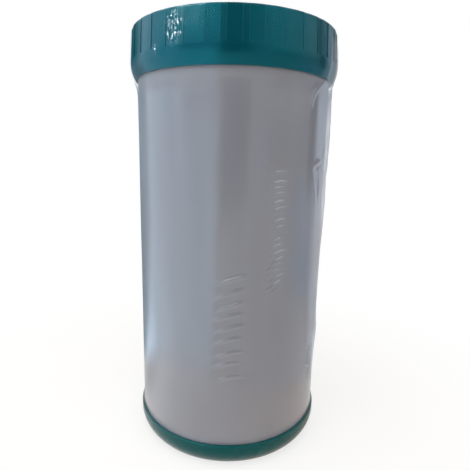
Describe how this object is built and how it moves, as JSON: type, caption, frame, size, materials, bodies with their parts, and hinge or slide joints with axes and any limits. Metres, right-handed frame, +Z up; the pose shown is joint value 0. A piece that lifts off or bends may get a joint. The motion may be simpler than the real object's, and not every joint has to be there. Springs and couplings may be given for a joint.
{
  "type": "anti-scale filter cartridge",
  "caption": "Round axial-flow anti-scale filter cartridge: frosted tube of softening beads between teal end caps with a gasketed outlet and slotted inlet, in clear shrink film.",
  "frame": {"origin": "centre of the foot, on the surface that the cartridge stands on", "axes": "+Z up along the tube's axis, from the slotted inlet to the outlet; the form is round, and -Y faces the picture's camera"},
  "size_m": [0.1256, 0.1256, 0.252],
  "materials": {
    "frosted_plastic": "frosted, translucent",
    "teal_plastic": "smooth moulded",
    "white_plastic": "smooth moulded",
    "black_rubber": "satin",
    "white_felt": "needled felt",
    "soft_foam": "open-cell foam",
    "amber_beads": "packed translucent beads",
    "clear_film": "clear glossy"
  },
  "bodies": {
    "root": {"body_tube": "frosted_plastic", "top_cap": "teal_plastic", "bottom_cap": "teal_plastic", "outlet_screen": "white_plastic", "inlet_screen": "white_plastic", "upper_seal": "black_rubber", "lower_seal": "black_rubber", "outlet_gasket": "black_rubber", "inlet_pad": "white_felt", "outlet_pad": "white_felt", "expansion_pad": "soft_foam", "media_bed": "amber_beads", "shrink_film": "clear_film"}
  },
  "joints": []
}
